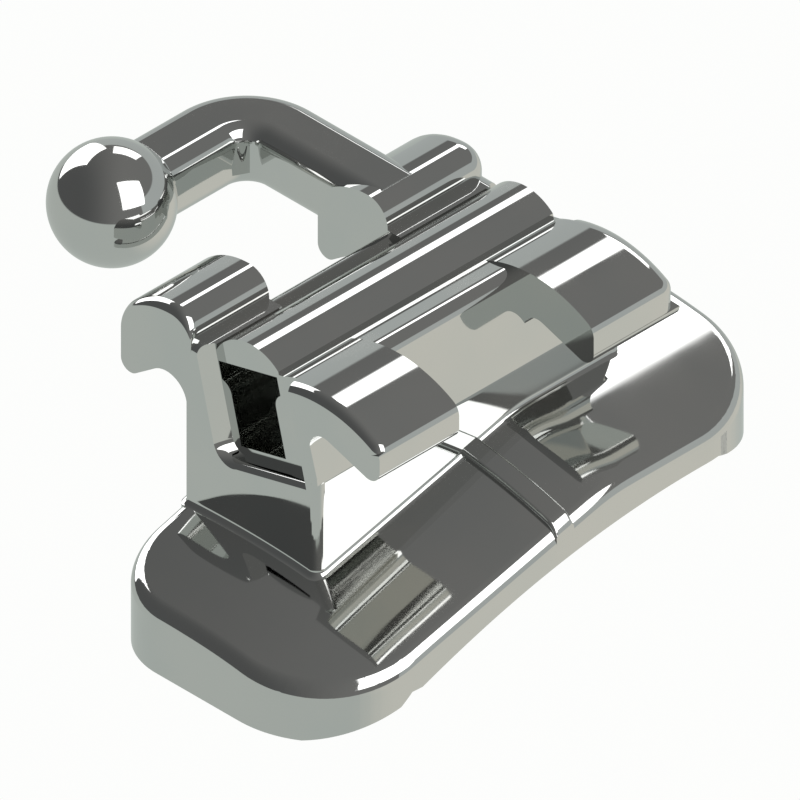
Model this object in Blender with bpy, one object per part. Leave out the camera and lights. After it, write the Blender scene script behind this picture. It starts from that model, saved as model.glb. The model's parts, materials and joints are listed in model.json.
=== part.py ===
"""A one-piece buccal tube for a molar: a bonding pad, a torqued slot under a cap strip, four tie wings
and a ball hook. The casting is drawn in millimetres in the frame of its slot, and one empty turns it
level with the pad and brings it to metres.
"""

import math

import bmesh
import bpy
from mathutils import Matrix, Vector

MM = 0.001

# Slot, in its own section: "across" runs away from the hook and "up" away from the tooth
TORQUE = math.radians(14)
SLOT_SIDEWAYS = -0.7855
SLOT_HEIGHT = 0.8455
SLOT_WIDTH = 0.5588
SLOT_WALL = 0.50
LIP_RADIUS = 0.14
SEAT_WIDTH = 0.733
SLOT_DEPTH = 0.81

# Cap strip over the slot
CAP_WIDTH = 0.80
CAP_BASE = 0.84
CAP_CROWN = 1.083
CAP_RADIUS = 0.483

# Pocket round each end of the slot
POCKET_DEPTH = 0.156
POCKET_HOOK_SIDE = 0.418
POCKET_OPEN_SIDE = 0.66
POCKET_FLOOR = 0.09
POCKET_CORNER = 0.16
POCKET_ROLL = 0.09
POCKET_HOOK_ROLL = 0.035

# Body. Its open side keeps a wall round the pockets
BODY_LENGTH = 3.66
BODY_WALL = 0.15
BODY_CORNER = 0.09
LEDGE_HEIGHT = 1.70
LEDGE_WIDTH = 0.115
LEDGE_FILLET = 0.12
SHOULDER_WALL = 0.165
SHOULDER_FILLET = 0.14
WAIST_FILLET = 0.30
FOOT_FILLET = 0.056

# Gingival wings, on the hook side. Their barrel-shaped top rises over the ledge
GINGIVAL_REACH = 0.80
GINGIVAL_TIP_LOW = 0.93
GINGIVAL_RISE = 0.257
GINGIVAL_ROOT = 1.508
GINGIVAL_INSET = 0.052
GINGIVAL_THROAT = 0.271
GINGIVAL_NOSE = 0.115
GINGIVAL_CROWN = 0.77
GINGIVAL_INNER = 0.24
GINGIVAL_SHOULDER = 0.25
GINGIVAL_STEP = 0.208
MESIAL_GINGIVAL_END = 0.956
DISTAL_GINGIVAL_START = 2.40

# Occlusal wings, on the long side of the pad
OCCLUSAL_REACH = 2.355
OCCLUSAL_TIP_LOW = 1.292
OCCLUSAL_CREST_AT = 1.62
OCCLUSAL_CREST = 1.907
OCCLUSAL_CROWN = 1.35
OCCLUSAL_SHOULDER = 0.15
OCCLUSAL_ROOT_AT = 1.43
OCCLUSAL_ROOT = 1.668
OCCLUSAL_NOSE = 0.13
OCCLUSAL_THROAT = 0.206
DISTAL_OCCLUSAL_DROP = 0.055
MESIAL_OCCLUSAL_END = 0.97
DISTAL_OCCLUSAL_START = 2.61
MESIAL_END_ROUND = 0.10
DISTAL_END_ROUND = 0.19

# Hook
HOOK_WIDTH = 0.63
HOOK_THICKNESS = 0.62
HOOK_CORNER = 0.17
HOOK_HEIGHT = 1.65
HOOK_BEND = 0.50
HOOK_REACH = 1.98
HOOK_ROOT = 0.15
BALL_AT = 1.07
BALL_DIAMETER = 1.14
NECK_FILLET = 0.06

# Bonding pad
PAD_MESIAL = 1.057
PAD_DISTAL = 4.65
PAD_GINGIVAL = 0.055
PAD_OCCLUSAL = 2.775
PAD_OCCLUSAL_CORNER = 1.08
PAD_GINGIVAL_CORNER = 0.74
PAD_EDGE_FILLET = 0.125
PAD_TOP = 0.041
PAD_SLOPE = 0.245
PAD_LEVEL_FROM = 2.42
PAD_BLEND = 0.20
PAD_FALL_FROM = 0.30
PAD_FALL_RADIUS = 16.9
PAD_CROWN_AT = 0.681
PAD_CROWN_RADIUS = 10.1
PAD_SIDE_FROM = 1.20
PAD_SIDE_RADIUS = 13.5

# Underside of the pad: two lips and the curved bonding field between them
FIELD_APEX_AT = 3.50
FIELD_APEX = 0.02
FIELD_RADIUS = 9.2
MESIAL_LIP_AT = 0.1425
MESIAL_LIP = 0.703
MESIAL_LIP_SLOPE = 0.30
MESIAL_LIP_LEVEL = 0.74
UNDERCUT_REACH = 0.124
UNDERCUT_RISE = 0.105
DISTAL_LIP_AT = 3.85
DISTAL_LIP = 0.035
DISTAL_LIP_SLOPE = 0.285
DISTAL_STEP = 0.13
GROOVE_COUNT = 6
GROOVE_MOUTH = 0.20
GROOVE_FLOOR = 0.28
GROOVE_DEPTH = 0.08
GROOVE_MARGIN = 0.22

# Locating rib across the pad
RIB_AT = 1.85
RIB_WIDTH = 0.21
RIB_HEIGHT = 0.06
RIB_ROUND = 0.035

# Fineness of the faces
ARC_STEP = math.radians(15)
BALL_SEGMENTS = 32
PAD_SLICE = 0.36
FILLET_SEGMENTS = 3

# How far a helper solid runs past the faces that it cuts or joins, how far a flush face is kept inside
# its neighbour, and how near counts as the same place
PAST = 0.20
FLUSH_STEP = 0.004
SAME = 1e-4
PAD_BLANK_FLOOR = -1.40


def clear_scene():
    for found in list(bpy.data.objects):
        bpy.data.objects.remove(found, do_unlink=True)


def polished_steel():
    """Mirror-polished stainless steel, as cast brackets are finished."""
    material = bpy.data.materials.new("polished_steel")
    material.use_nodes = True
    shader = material.node_tree.nodes["Principled BSDF"]
    shader.inputs["Base Color"].default_value = (0.62, 0.63, 0.61, 1.0)
    shader.inputs["Metallic"].default_value = 1.0
    shader.inputs["Roughness"].default_value = 0.06
    return material


def slot_point(across, up):
    """The (y, z) of a point of the slot's section, which is turned by the torque."""
    y = SLOT_SIDEWAYS - across * math.cos(TORQUE) + up * math.sin(TORQUE)
    z = SLOT_HEIGHT + across * math.sin(TORQUE) + up * math.cos(TORQUE)
    return y, z


def share_of_side(neighbour):
    """The share of a side that one corner's arc may use, given the corner at its other end."""
    return 0.49 if neighbour[2] > 0 else 0.98


def rounded(corners):
    """An outline through (u, v, radius) corners, where an arc takes the place of a corner with a radius."""
    outline = []
    for index, (u, v, radius) in enumerate(corners):
        corner = Vector((u, v))
        if radius <= 0:
            outline.append(corner)
            continue
        back = Vector(corners[index - 1][:2]) - corner
        ahead = Vector(corners[(index + 1) % len(corners)][:2]) - corner
        half = back.angle(ahead) / 2
        room = min(
            back.length * share_of_side(corners[index - 1]),
            ahead.length * share_of_side(corners[(index + 1) % len(corners)]),
        )
        radius = min(radius, room * math.tan(half))
        middle = (back.normalized() + ahead.normalized()).normalized()
        centre = corner + middle * radius / math.sin(half)
        spoke = corner + back.normalized() * radius / math.tan(half) - centre
        sweep = math.copysign(math.pi - 2 * half, ahead.cross(back))
        steps = max(2, math.ceil(abs(sweep) / ARC_STEP))
        for step in range(steps + 1):
            outline.append(centre + Matrix.Rotation(sweep * step / steps, 2) @ spoke)
    return outline


def arc(centre, radius, start, end):
    """Points (across, up) of an arc in the slot's section, by angles from the across direction."""
    steps = max(2, math.ceil(abs(end - start) / ARC_STEP))
    turns = (start + (end - start) * step / steps for step in range(steps + 1))
    return [(centre[0] + radius * math.cos(t), centre[1] + radius * math.sin(t)) for t in turns]


def pad_top(x, y):
    """Height of the pad's top: a slope along X that levels out at its distal end, crowned along Y."""
    past = min(max(x - PAD_LEVEL_FROM + PAD_BLEND, 0.0), 2 * PAD_BLEND)
    run = min(x, PAD_LEVEL_FROM + PAD_BLEND) - past * past / (4 * PAD_BLEND)
    fall = min(x - PAD_FALL_FROM, 0.0) ** 2 / (2 * PAD_FALL_RADIUS)
    side = min(y + PAD_SIDE_FROM, 0.0) ** 2 / (2 * PAD_SIDE_RADIUS)
    crown = (y + PAD_CROWN_AT) ** 2 / (2 * PAD_CROWN_RADIUS)
    return PAD_TOP + PAD_SLOPE * run - fall - side - crown


def field(x):
    """Height of the bonding field, a shallow arch along X."""
    return FIELD_APEX - (x - FIELD_APEX_AT) ** 2 / (2 * FIELD_RADIUS)


def mesial_lip(x):
    """Height of the mesial lip, which slopes down to its level outer part."""
    return -MESIAL_LIP + MESIAL_LIP_SLOPE * max(x + MESIAL_LIP_AT, -MESIAL_LIP_LEVEL)


def distal_lip(x):
    return -DISTAL_LIP - DISTAL_LIP_SLOPE * (x - DISTAL_LIP_AT)


def finish(bm, name, collection, frame):
    """Turns a bmesh into an object of the casting, with smooth curves between its sharp edges."""
    bmesh.ops.recalc_face_normals(bm, faces=bm.faces)
    mesh = bpy.data.meshes.new(name)
    bm.to_mesh(mesh)
    bm.free()
    mesh.shade_smooth()
    mesh.set_sharp_from_angle(angle=math.radians(30))
    made = bpy.data.objects.new(name, mesh)
    collection.objects.link(made)
    made.parent = frame
    return made


def prism(outline, place, direction):
    """A bmesh solid: the outline's points, placed by a function, as one face that is extruded."""
    bm = bmesh.new()
    face = bm.faces.new([bm.verts.new(place(u, v)) for u, v in outline])
    grown = bmesh.ops.extrude_face_region(bm, geom=[face])["geom"]
    moved = [item for item in grown if isinstance(item, bmesh.types.BMVert)]
    bmesh.ops.translate(bm, verts=moved, vec=direction)
    return bm


def along_x(outline, start, end):
    """A solid with its (y, z) outline, from one X to another."""
    return prism(outline, lambda y, z: (start, y, z), (end - start, 0, 0))


def along_y(outline, start, end):
    """A solid with its (x, z) outline, from one Y to another."""
    return prism(outline, lambda x, z: (x, start, z), (0, end - start, 0))


def loft(loops):
    """A bmesh solid through closed loops with as many points each."""
    bm = bmesh.new()
    rings = [[bm.verts.new(point) for point in loop] for loop in loops]
    for ring, following in zip(rings, rings[1:]):
        for index in range(len(ring)):
            bm.faces.new((ring[index - 1], ring[index], following[index], following[index - 1]))
    bm.faces.new(rings[0])
    bm.faces.new(rings[-1])
    return bm


def slice_up(bm, axis, step):
    """Cuts a mesh into slices across an axis, so that it can be bent."""
    values = [vert.co[axis] for vert in bm.verts]
    low, high = min(values), max(values)
    count = max(1, round((high - low) / step))
    normal = Vector((axis == 0, axis == 1, axis == 2))
    for index in range(1, count):
        everything = bm.verts[:] + bm.edges[:] + bm.faces[:]
        cut = low + (high - low) * index / count
        bmesh.ops.bisect_plane(bm, geom=everything, dist=1e-6, plane_co=normal * cut, plane_no=normal)


def drape(bm, above):
    """Lays a flat solid's points that lie over a height onto the pad's top."""
    slice_up(bm, 0, PAD_SLICE)
    slice_up(bm, 1, PAD_SLICE)
    for vert in bm.verts:
        if vert.co.z > above:
            vert.co.z += pad_top(vert.co.x, vert.co.y)


def round_edges(bm, edges, radius):
    bmesh.ops.bevel(
        bm, geom=edges, offset=radius, segments=FILLET_SEGMENTS, profile=0.5, affect="EDGES"
    )


def open_wall():
    """Y of the body's upright wall on the open side, past the pockets' lowest corner."""
    return slot_point(POCKET_OPEN_SIDE, -POCKET_FLOOR)[0] - BODY_WALL


def core_outline():
    """Section of the body with its cap strip, as it is between the wings."""
    half = CAP_WIDTH / 2
    centre = (0, CAP_CROWN - CAP_RADIUS)
    reach = math.acos(half / CAP_RADIUS)
    crown = [slot_point(*point) for point in arc(centre, CAP_RADIUS, math.pi - reach, reach)]
    wall = open_wall()
    shoulder = POCKET_OPEN_SIDE + SHOULDER_WALL
    waist = (wall - SLOT_SIDEWAYS + shoulder * math.cos(TORQUE)) / math.sin(TORQUE)
    corners = [
        (0, PAD_BLANK_FLOOR, 0),
        (0, LEDGE_HEIGHT, LEDGE_FILLET),
        (-LEDGE_WIDTH, LEDGE_HEIGHT, 0),
        (*slot_point(-half, CAP_BASE), 0),
        *[(y, z, 0) for y, z in crown],
        (*slot_point(half, CAP_BASE), 0),
        (*slot_point(shoulder, CAP_BASE), SHOULDER_FILLET),
        (wall, slot_point(shoulder, waist)[1], WAIST_FILLET),
        (wall, PAD_BLANK_FLOOR, 0),
    ]
    return rounded(corners)


def body():
    """The body, with the upright edges of its open side rounded."""
    bm = along_x(core_outline(), 0, BODY_LENGTH)
    for end in (0, BODY_LENGTH):
        rounded_end(bm, end, BODY_CORNER, lambda point: point.y < open_wall() + SAME)
    return bm


def gingival_outline():
    """Section of a wing on the hook side, with the ledge that carries it, from inside the body's wall."""
    crest = GINGIVAL_INNER - GINGIVAL_INSET
    top = LEDGE_HEIGHT + GINGIVAL_RISE
    inner = [(y, z, 0) for y, z in arc((crest, top - GINGIVAL_INNER), GINGIVAL_INNER, math.pi / 2, math.pi)]
    crown = barrel((crest, top), GINGIVAL_CROWN, GINGIVAL_REACH, GINGIVAL_SHOULDER)
    low = GINGIVAL_ROOT - 3 * GINGIVAL_THROAT
    return rounded(
        [
            (0, low, 0),
            (0, GINGIVAL_ROOT, GINGIVAL_THROAT),
            (GINGIVAL_REACH, GINGIVAL_TIP_LOW, GINGIVAL_NOSE),
            *crown,
            *inner[1:],
            (-GINGIVAL_INSET, LEDGE_HEIGHT, 0),
            (-GINGIVAL_STEP, LEDGE_HEIGHT, 0),
            (-GINGIVAL_STEP, low, 0),
        ]
    )


def barrel(crest, crown, reach, shoulder):
    """Corners of a wing's top, from tip to crest: a shoulder arc that runs into the wide crown arc."""
    side = math.copysign(1.0, reach - crest[0])
    middle = crest[1] - crown
    across = abs(reach - crest[0]) - shoulder
    turn = math.acos(across / (crown - shoulder))
    centre = (across, middle + (crown - shoulder) * math.sin(turn))
    points = arc(centre, shoulder, 0, turn) + arc((0, middle), crown, turn, math.pi / 2)[1:]
    return [(crest[0] + side * y, z, 0) for y, z in points]


def occlusal_outline(drop):
    """Section of a wing on the open side, from inside the body, with its underside lower by a drop."""
    crown = barrel((-OCCLUSAL_CREST_AT, OCCLUSAL_CREST), OCCLUSAL_CROWN, -OCCLUSAL_REACH, OCCLUSAL_SHOULDER)
    inside = slot_point(CAP_WIDTH / 2, CAP_BASE)
    middle = OCCLUSAL_CREST - OCCLUSAL_CROWN
    start = math.acos((inside[0] + OCCLUSAL_CREST_AT) / OCCLUSAL_CROWN)
    rest = arc((-OCCLUSAL_CREST_AT, middle), OCCLUSAL_CROWN, start, math.pi / 2)
    low = OCCLUSAL_ROOT - 3 * OCCLUSAL_THROAT
    return rounded(
        [
            (inside[0], low, 0),
            *[(y, z, 0) for y, z in rest],
            *crown[-2::-1],
            (-OCCLUSAL_REACH, OCCLUSAL_TIP_LOW - drop, OCCLUSAL_NOSE),
            (-OCCLUSAL_ROOT_AT, OCCLUSAL_ROOT - drop, OCCLUSAL_THROAT),
            (-OCCLUSAL_ROOT_AT, low, 0),
        ]
    )


def rounded_end(bm, at, radius, wanted):
    """Rounds the wanted edges of the end face at one X, so that the rounding runs along its rim."""
    rim = []
    for edge in bm.edges:
        ends = [vert.co for vert in edge.verts]
        if all(abs(point.x - at) < SAME for point in ends) and wanted((ends[0] + ends[1]) / 2):
            rim.append(edge)
    round_edges(bm, rim, radius)
    return bm


def gingival_wing(start, end, radius, tip_low):
    """A wing on the hook side. Its outer end, the start, is rounded over the top and down the tip."""

    def over_top(point):
        tip = point.y > GINGIVAL_INNER
        return point.z > (tip_low if tip else LEDGE_HEIGHT - SAME)

    return rounded_end(along_x(gingival_outline(), start, end), start, radius, over_top)


def occlusal_wing(start, end, radius, tip_low, drop):
    """A wing on the open side. Its outer end, the start, is rounded over the top and down the tip."""
    inner = slot_point(POCKET_OPEN_SIDE, CAP_BASE)[0]

    def over_top(point):
        tip = point.y < -OCCLUSAL_CREST_AT
        return point.y < inner and point.z > (tip_low if tip else OCCLUSAL_ROOT)

    return rounded_end(along_x(occlusal_outline(drop), start, end), start, radius, over_top)


def slot_outline():
    """Section of the slot: straight walls, rounded lips and the seat under the cap."""
    half = SLOT_WIDTH / 2
    seat = SEAT_WIDTH / 2
    turn = math.acos(max(-1.0, 1 - (seat - half) / LIP_RADIUS))
    lip = arc((half + LIP_RADIUS, SLOT_WALL), LIP_RADIUS, math.pi, math.pi - turn)
    right = [(half, 0), *lip, (seat, SLOT_DEPTH)]
    left = [(-across, up) for across, up in reversed(right)]
    return [slot_point(*point) for point in right + left]


def pocket(end, inward):
    """The recess round one end of the slot, with a rolled rim that is widest at its floor."""
    top = CAP_CROWN + 2 * PAST
    hook_share = POCKET_HOOK_ROLL / POCKET_ROLL
    steps = 2 * FILLET_SEGMENTS
    depths = [(-PAST, POCKET_ROLL)]
    for step in range(steps + 1):
        turn = math.pi / 2 * step / steps
        depths.append((POCKET_ROLL * (1 - math.cos(turn)), POCKET_ROLL * (1 - math.sin(turn))))
    depths.append((POCKET_DEPTH, 0))
    loops = []
    for depth, spread in depths:
        corners = [
            (-POCKET_HOOK_SIDE - spread * hook_share, top, 0),
            (-POCKET_HOOK_SIDE - spread * hook_share, -POCKET_FLOOR - spread, POCKET_CORNER + spread),
            (POCKET_OPEN_SIDE, -POCKET_FLOOR - spread, 0),
            (POCKET_OPEN_SIDE, top, 0),
        ]
        loops.append([(end + inward * depth, *slot_point(*point)) for point in rounded(corners)])
    return loft(loops)


def pad_outline(inset=0.0):
    """Plan of the pad as (x, y)."""
    return rounded(
        [
            (-PAD_MESIAL + inset, PAD_GINGIVAL - inset, PAD_GINGIVAL_CORNER - inset),
            (-PAD_MESIAL + inset, -PAD_OCCLUSAL + inset, PAD_OCCLUSAL_CORNER - inset),
            (PAD_DISTAL - inset, -PAD_OCCLUSAL + inset, PAD_OCCLUSAL_CORNER - inset),
            (PAD_DISTAL - inset, PAD_GINGIVAL - inset, PAD_GINGIVAL_CORNER - inset),
        ]
    )


def pad_blank():
    """The pad with its filleted top edge, laid to the shape of its top, before its underside is cut."""
    loops = [[(x, y, PAD_BLANK_FLOOR) for x, y in pad_outline()]]
    steps = 2 * FILLET_SEGMENTS
    for step in range(steps + 1):
        turn = math.pi / 2 * step / steps
        inset = PAD_EDGE_FILLET * (1 - math.cos(turn))
        height = -PAD_EDGE_FILLET * (1 - math.sin(turn))
        loops.append([(x, y, height) for x, y in pad_outline(inset)])
    bm = loft(loops)
    drape(bm, PAD_BLANK_FLOOR / 2)
    return bm


def foot_fillet():
    """The concave fillet round the foot of the body, laid on the pad."""
    wall = open_wall()
    loops = []
    steps = 2 * FILLET_SEGMENTS
    sections = [(FOOT_FILLET, -PAST)]
    for step in range(steps + 1):
        turn = math.pi / 2 * step / steps
        sections.append((FOOT_FILLET * (1 - math.sin(turn)), FOOT_FILLET * (1 - math.cos(turn))))
    sections.append((-FOOT_FILLET / 4, FOOT_FILLET))
    for spread, height in sections:
        sharp = spread + FOOT_FILLET / 2
        corners = [
            (-spread, spread, sharp),
            (-spread, wall - spread, BODY_CORNER + spread),
            (BODY_LENGTH + spread, wall - spread, BODY_CORNER + spread),
            (BODY_LENGTH + spread, spread, sharp),
        ]
        loops.append([(x, y, height) for x, y in rounded(corners)])
    bm = loft(loops)
    drape(bm, -2 * PAST)
    return bm


def rib():
    """The rib from the body's foot to the pad's long edge, where it turns down flush with the wall."""
    half = RIB_WIDTH / 2
    outline = [
        (RIB_AT - half, -2 * PAST),
        (RIB_AT - half, RIB_HEIGHT),
        (RIB_AT + half, RIB_HEIGHT),
        (RIB_AT + half, -2 * PAST),
    ]
    front = -PAD_OCCLUSAL + FLUSH_STEP
    bm = along_y(outline, front, open_wall() + PAST)
    lip = [e for e in bm.edges if all(v.co.z > 0 and v.co.y < front + SAME for v in e.verts)]
    round_edges(bm, lip, PAD_EDGE_FILLET)
    sides = []
    for edge in bm.edges:
        first, second = (vert.co for vert in edge.verts)
        along = abs(first.x - second.x) < SAME and max(first.z, second.z) > 0
        if along and min(first.z, second.z) > -PAD_EDGE_FILLET - SAME and edge.calc_face_angle(0) > 1:
            sides.append(edge)
    round_edges(bm, sides, RIB_ROUND)
    drape(bm, -3 * PAST)
    return bm


def hook():
    """Arm, bend and leg of the hook, swept from a section with rounded corners."""
    centre_x = DISTAL_GINGIVAL_START + HOOK_WIDTH / 2
    bend_start = HOOK_REACH - HOOK_BEND
    half_width = HOOK_WIDTH / 2
    half_height = HOOK_THICKNESS / 2
    outline = rounded(
        [
            (centre_x - half_width, HOOK_HEIGHT - half_height, HOOK_CORNER),
            (centre_x + half_width, HOOK_HEIGHT - half_height, HOOK_CORNER),
            (centre_x + half_width, HOOK_HEIGHT + half_height, HOOK_CORNER),
            (centre_x - half_width, HOOK_HEIGHT + half_height, HOOK_CORNER),
        ]
    )
    bm = along_y(outline, HOOK_ROOT, bend_start)
    end = [face for face in bm.faces if abs(face.calc_center_median().y - bend_start) < SAME]
    bend_centre = (centre_x - HOOK_BEND, bend_start, HOOK_HEIGHT)
    spun = bmesh.ops.spin(
        bm,
        geom=end,
        cent=bend_centre,
        axis=(0, 0, 1),
        angle=math.pi / 2,
        steps=math.ceil(math.pi / 2 / ARC_STEP),
    )
    bmesh.ops.delete(bm, geom=end, context="FACES_ONLY")
    last = [item for item in spun["geom_last"] if isinstance(item, bmesh.types.BMFace)]
    grown = bmesh.ops.extrude_face_region(bm, geom=last)["geom"]
    moved = [item for item in grown if isinstance(item, bmesh.types.BMVert)]
    leg = centre_x - HOOK_BEND - BALL_AT - BALL_DIAMETER / 4
    bmesh.ops.translate(bm, verts=moved, vec=(-leg, 0, 0))
    bmesh.ops.delete(bm, geom=last, context="FACES_ONLY")
    bmesh.ops.remove_doubles(bm, verts=bm.verts, dist=1e-5)
    return bm


def ball():
    bm = bmesh.new()
    bmesh.ops.create_uvsphere(
        bm,
        u_segments=BALL_SEGMENTS,
        v_segments=BALL_SEGMENTS // 2,
        radius=BALL_DIAMETER / 2,
        matrix=Matrix.Translation((BALL_AT, HOOK_REACH, HOOK_HEIGHT)) @ Matrix.Rotation(math.pi / 2, 4, "Y"),
    )
    return bm


def neck():
    """The concave fillet between the hook's leg and its ball."""
    seat = BALL_AT + math.sqrt((BALL_DIAMETER / 2) ** 2 - (HOOK_WIDTH / 2) ** 2)
    sections = [(BALL_AT + BALL_DIAMETER / 4, NECK_FILLET)]
    steps = 2 * FILLET_SEGMENTS
    for step in range(steps + 1):
        turn = math.pi / 2 * step / steps
        spread = NECK_FILLET * (1 - math.sin(turn)) - FLUSH_STEP
        sections.append((seat + NECK_FILLET * (1 - math.cos(turn)), spread))
    loops = []
    for x, spread in sections:
        across = HOOK_WIDTH / 2 + spread
        rise = HOOK_THICKNESS / 2 + spread
        corner = HOOK_CORNER + spread
        corners = [(-across, -rise), (across, -rise), (across, rise), (-across, rise)]
        outline = rounded([(*point, corner) for point in corners])
        loops.append([(x, HOOK_REACH + y, HOOK_HEIGHT + z) for y, z in outline])
    return loft(loops)


def underside():
    """Everything below the pad: the lips, the undercut behind the mesial one and the field's arch."""
    start = -PAD_MESIAL - PAST
    end = PAD_DISTAL + PAST
    field_start = -MESIAL_LIP_AT + 2 * UNDERCUT_REACH
    field_end = DISTAL_LIP_AT - DISTAL_STEP
    steps = max(4, round((field_end - field_start) / PAD_SLICE))
    level = -MESIAL_LIP_AT - MESIAL_LIP_LEVEL
    outline = [(start, PAD_BLANK_FLOOR - PAST), (start, mesial_lip(start)), (level, mesial_lip(level))]
    outline.append((-MESIAL_LIP_AT, -MESIAL_LIP))
    outline.append((-MESIAL_LIP_AT + UNDERCUT_REACH, -MESIAL_LIP + UNDERCUT_RISE))
    for step in range(steps + 1):
        x = field_start + (field_end - field_start) * step / steps
        outline.append((x, field(x)))
    outline += [(DISTAL_LIP_AT, -DISTAL_LIP), (end, distal_lip(end)), (end, PAD_BLANK_FLOOR - PAST)]
    return along_y(outline, -PAD_OCCLUSAL - PAST, PAD_GINGIVAL + PAST)


def groove(middle):
    """One retention groove: a dovetail that follows the field's arch and stops short of both lips."""
    start = -MESIAL_LIP_AT + 2 * UNDERCUT_REACH + GROOVE_MARGIN
    end = DISTAL_LIP_AT - DISTAL_STEP - GROOVE_MARGIN
    flare = (GROOVE_FLOOR - GROOVE_MOUTH) / 2
    outline = [
        (middle - GROOVE_MOUTH / 2 + flare, -GROOVE_DEPTH),
        (middle + GROOVE_MOUTH / 2 - flare, -GROOVE_DEPTH),
        (middle + GROOVE_FLOOR / 2, GROOVE_DEPTH),
        (middle - GROOVE_FLOOR / 2, GROOVE_DEPTH),
    ]
    bm = along_x(outline, start, end)
    slice_up(bm, 0, PAD_SLICE)
    for vert in bm.verts:
        vert.co.z += field(vert.co.x)
    return bm


def joined_solids():
    """The solids that are joined to the pad, by name."""
    return {
        "body": body(),
        "foot_fillet": foot_fillet(),
        "mesial_gingival_wing": gingival_wing(0, MESIAL_GINGIVAL_END, MESIAL_END_ROUND, LEDGE_HEIGHT),
        "distal_gingival_wing": gingival_wing(
            BODY_LENGTH, DISTAL_GINGIVAL_START, DISTAL_END_ROUND, GINGIVAL_TIP_LOW + GINGIVAL_NOSE
        ),
        "mesial_occlusal_wing": occlusal_wing(0, MESIAL_OCCLUSAL_END, MESIAL_END_ROUND, OCCLUSAL_ROOT, 0),
        "distal_occlusal_wing": occlusal_wing(
            BODY_LENGTH,
            DISTAL_OCCLUSAL_START,
            DISTAL_END_ROUND,
            OCCLUSAL_TIP_LOW + OCCLUSAL_NOSE,
            DISTAL_OCCLUSAL_DROP,
        ),
        "hook_arm": hook(),
        "hook_ball": ball(),
        "hook_neck": neck(),
        "pad_rib": rib(),
    }


def cutting_solids():
    """The solids that are cut from the casting, by name."""
    cut = {
        "slot": along_x(slot_outline(), -PAST, BODY_LENGTH + PAST),
        "mesial_pocket": pocket(0, 1),
        "distal_pocket": pocket(BODY_LENGTH, -1),
        "underside": underside(),
    }
    pitch = (PAD_OCCLUSAL + PAD_GINGIVAL) / GROOVE_COUNT
    for index in range(GROOVE_COUNT):
        cut[f"groove_{index + 1}"] = groove(PAD_GINGIVAL - pitch * (index + 0.5))
    return cut


def level_frame():
    """Where the slot's frame sits: the lips stand level on Z 0, and the origin is under the pad's middle."""
    mesial_x = -MESIAL_LIP_AT - MESIAL_LIP_LEVEL
    mesial_z = mesial_lip(mesial_x)
    slope = (distal_lip(PAD_DISTAL) - mesial_z) / (PAD_DISTAL - mesial_x)
    middle_x = (PAD_DISTAL - PAD_MESIAL) / 2
    middle_z = mesial_z + slope * (middle_x - mesial_x)
    middle = Vector((middle_x, (PAD_GINGIVAL - PAD_OCCLUSAL) / 2, middle_z))
    turn = Matrix.Rotation(math.atan(slope), 4, "Y")
    return turn @ Matrix.Scale(MM, 4) @ Matrix.Translation(-middle)


def shape(casting, tools, operation):
    """Joins or cuts the casting with solids, one Boolean each."""
    for tool in tools:
        tool.hide_render = True
        tool.display_type = "WIRE"
        modifier = casting.modifiers.new(tool.name, "BOOLEAN")
        modifier.operation = operation
        modifier.solver = "EXACT"
        modifier.object = tool


def build():
    clear_scene()
    scene = bpy.context.scene
    parts = bpy.data.collections.new("buccal_tube")
    tools = bpy.data.collections.new("shaping_solids")
    scene.collection.children.link(parts)
    scene.collection.children.link(tools)
    frame = bpy.data.objects.new("slot_frame", None)
    frame.matrix_world = level_frame()
    frame.empty_display_size = 2
    parts.objects.link(frame)

    casting = finish(pad_blank(), "buccal_tube", parts, frame)
    casting.data.materials.append(polished_steel())

    shape(casting, [finish(bm, name, tools, frame) for name, bm in joined_solids().items()], "UNION")
    shape(casting, [finish(bm, name, tools, frame) for name, bm in cutting_solids().items()], "DIFFERENCE")


build()
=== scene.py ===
"""Looks of the buccal tube: the casting as a fine mesh with mirror-polished steel and a blasted bonding
base, on a plain pale floor in a studio with three softboxes. The casting is drawn in millimetres in the
frame of its slot, as the solids are, and then brought level and to metres.
"""

import json
import math

import bmesh
import bpy
from mathutils import Matrix, Vector

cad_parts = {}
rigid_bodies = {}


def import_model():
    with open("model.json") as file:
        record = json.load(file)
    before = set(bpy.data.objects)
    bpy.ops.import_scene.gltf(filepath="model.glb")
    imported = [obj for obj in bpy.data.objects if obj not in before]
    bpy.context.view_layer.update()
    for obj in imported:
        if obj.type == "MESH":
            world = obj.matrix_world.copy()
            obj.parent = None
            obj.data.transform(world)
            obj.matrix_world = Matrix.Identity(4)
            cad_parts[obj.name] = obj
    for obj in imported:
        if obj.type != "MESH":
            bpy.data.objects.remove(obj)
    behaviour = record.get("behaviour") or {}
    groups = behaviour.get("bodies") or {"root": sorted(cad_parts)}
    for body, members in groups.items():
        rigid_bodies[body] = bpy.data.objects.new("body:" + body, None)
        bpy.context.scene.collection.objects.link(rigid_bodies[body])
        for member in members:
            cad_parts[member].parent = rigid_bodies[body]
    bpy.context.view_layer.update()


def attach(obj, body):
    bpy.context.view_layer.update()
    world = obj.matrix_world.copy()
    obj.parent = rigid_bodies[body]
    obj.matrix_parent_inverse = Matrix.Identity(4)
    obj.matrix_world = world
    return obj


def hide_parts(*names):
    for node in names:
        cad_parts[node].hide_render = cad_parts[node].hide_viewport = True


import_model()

MM = 0.001

# Slot, in its own section: "across" runs away from the hook and "up" away from the tooth
TORQUE = math.radians(14)
SLOT_SIDEWAYS = -0.7855
SLOT_HEIGHT = 0.8455
SLOT_WIDTH = 0.5588
SLOT_WALL = 0.50
LIP_RADIUS = 0.14
SEAT_WIDTH = 0.733
SLOT_DEPTH = 0.81

# Cap strip over the slot
CAP_WIDTH = 0.80
CAP_BASE = 0.84
CAP_CROWN = 1.083
CAP_RADIUS = 0.483

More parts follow.
